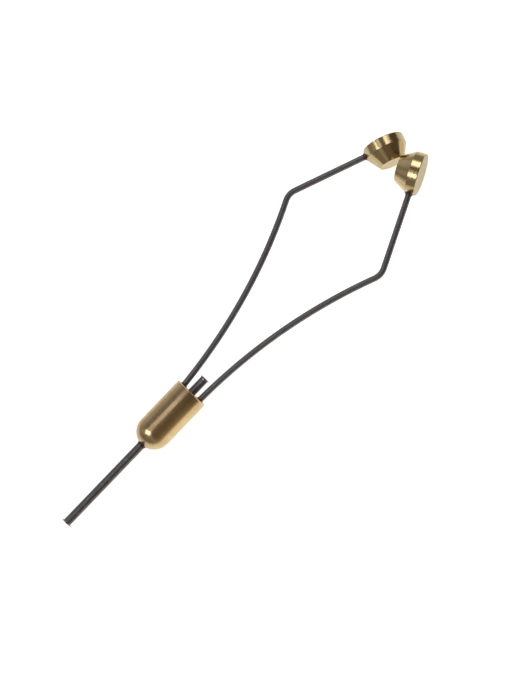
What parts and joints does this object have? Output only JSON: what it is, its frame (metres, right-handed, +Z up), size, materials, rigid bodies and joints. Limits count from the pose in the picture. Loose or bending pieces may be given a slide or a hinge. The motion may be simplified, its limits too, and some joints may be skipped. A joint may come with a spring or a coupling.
{
  "type": "bobbin holder for fly tying",
  "caption": "Hand tool that holds a thread spool between two sprung wire arms and feeds its thread through a flared metal tube.",
  "frame": {"origin": "on the thread tube's axis, at the body's flat rear face, where the two arms come out", "axes": "+X along the thread tube towards its tip, +Y towards the left arm in the plane of both arms, +Z up with the tool lying flat"},
  "size_m": [0.114, 0.0292, 0.012],
  "materials": {
    "brass": "turned and polished",
    "spring_wire": "dark oxide, satin",
    "tube_steel": "dark, satin, with bright lips",
    "adhesive": "set adhesive, dark red-brown, glossy"
  },
  "bodies": {
    "handle": {"body": "brass", "thread_tube": "tube_steel", "nose_glue": "adhesive", "left_root_glue": "adhesive", "right_root_glue": "adhesive"},
    "left_spring_arm": {"left_arm": "spring_wire", "left_foot": "brass", "left_foot_glue": "adhesive"},
    "right_spring_arm": {"right_arm": "spring_wire", "right_foot": "brass", "right_foot_glue": "adhesive"}
  },
  "joints": [
    {"name": "left_arm_flex", "type": "hinge", "parent": "handle", "child": "left_spring_arm", "pos_m": [0, 0.0025, 0], "axis": [0, 0, -1], "range_deg": [0, 14], "stiffness_Nm_per_rad": 1.6, "springref_deg": -0.57, "deforming": ["left_arm"]},
    {"name": "right_arm_flex", "type": "hinge", "parent": "handle", "child": "right_spring_arm", "pos_m": [0, -0.0025, 0], "axis": [0, 0, 1], "range_deg": [0, 14], "stiffness_Nm_per_rad": 1.6, "springref_deg": -0.57, "deforming": ["right_arm"]}
  ]
}
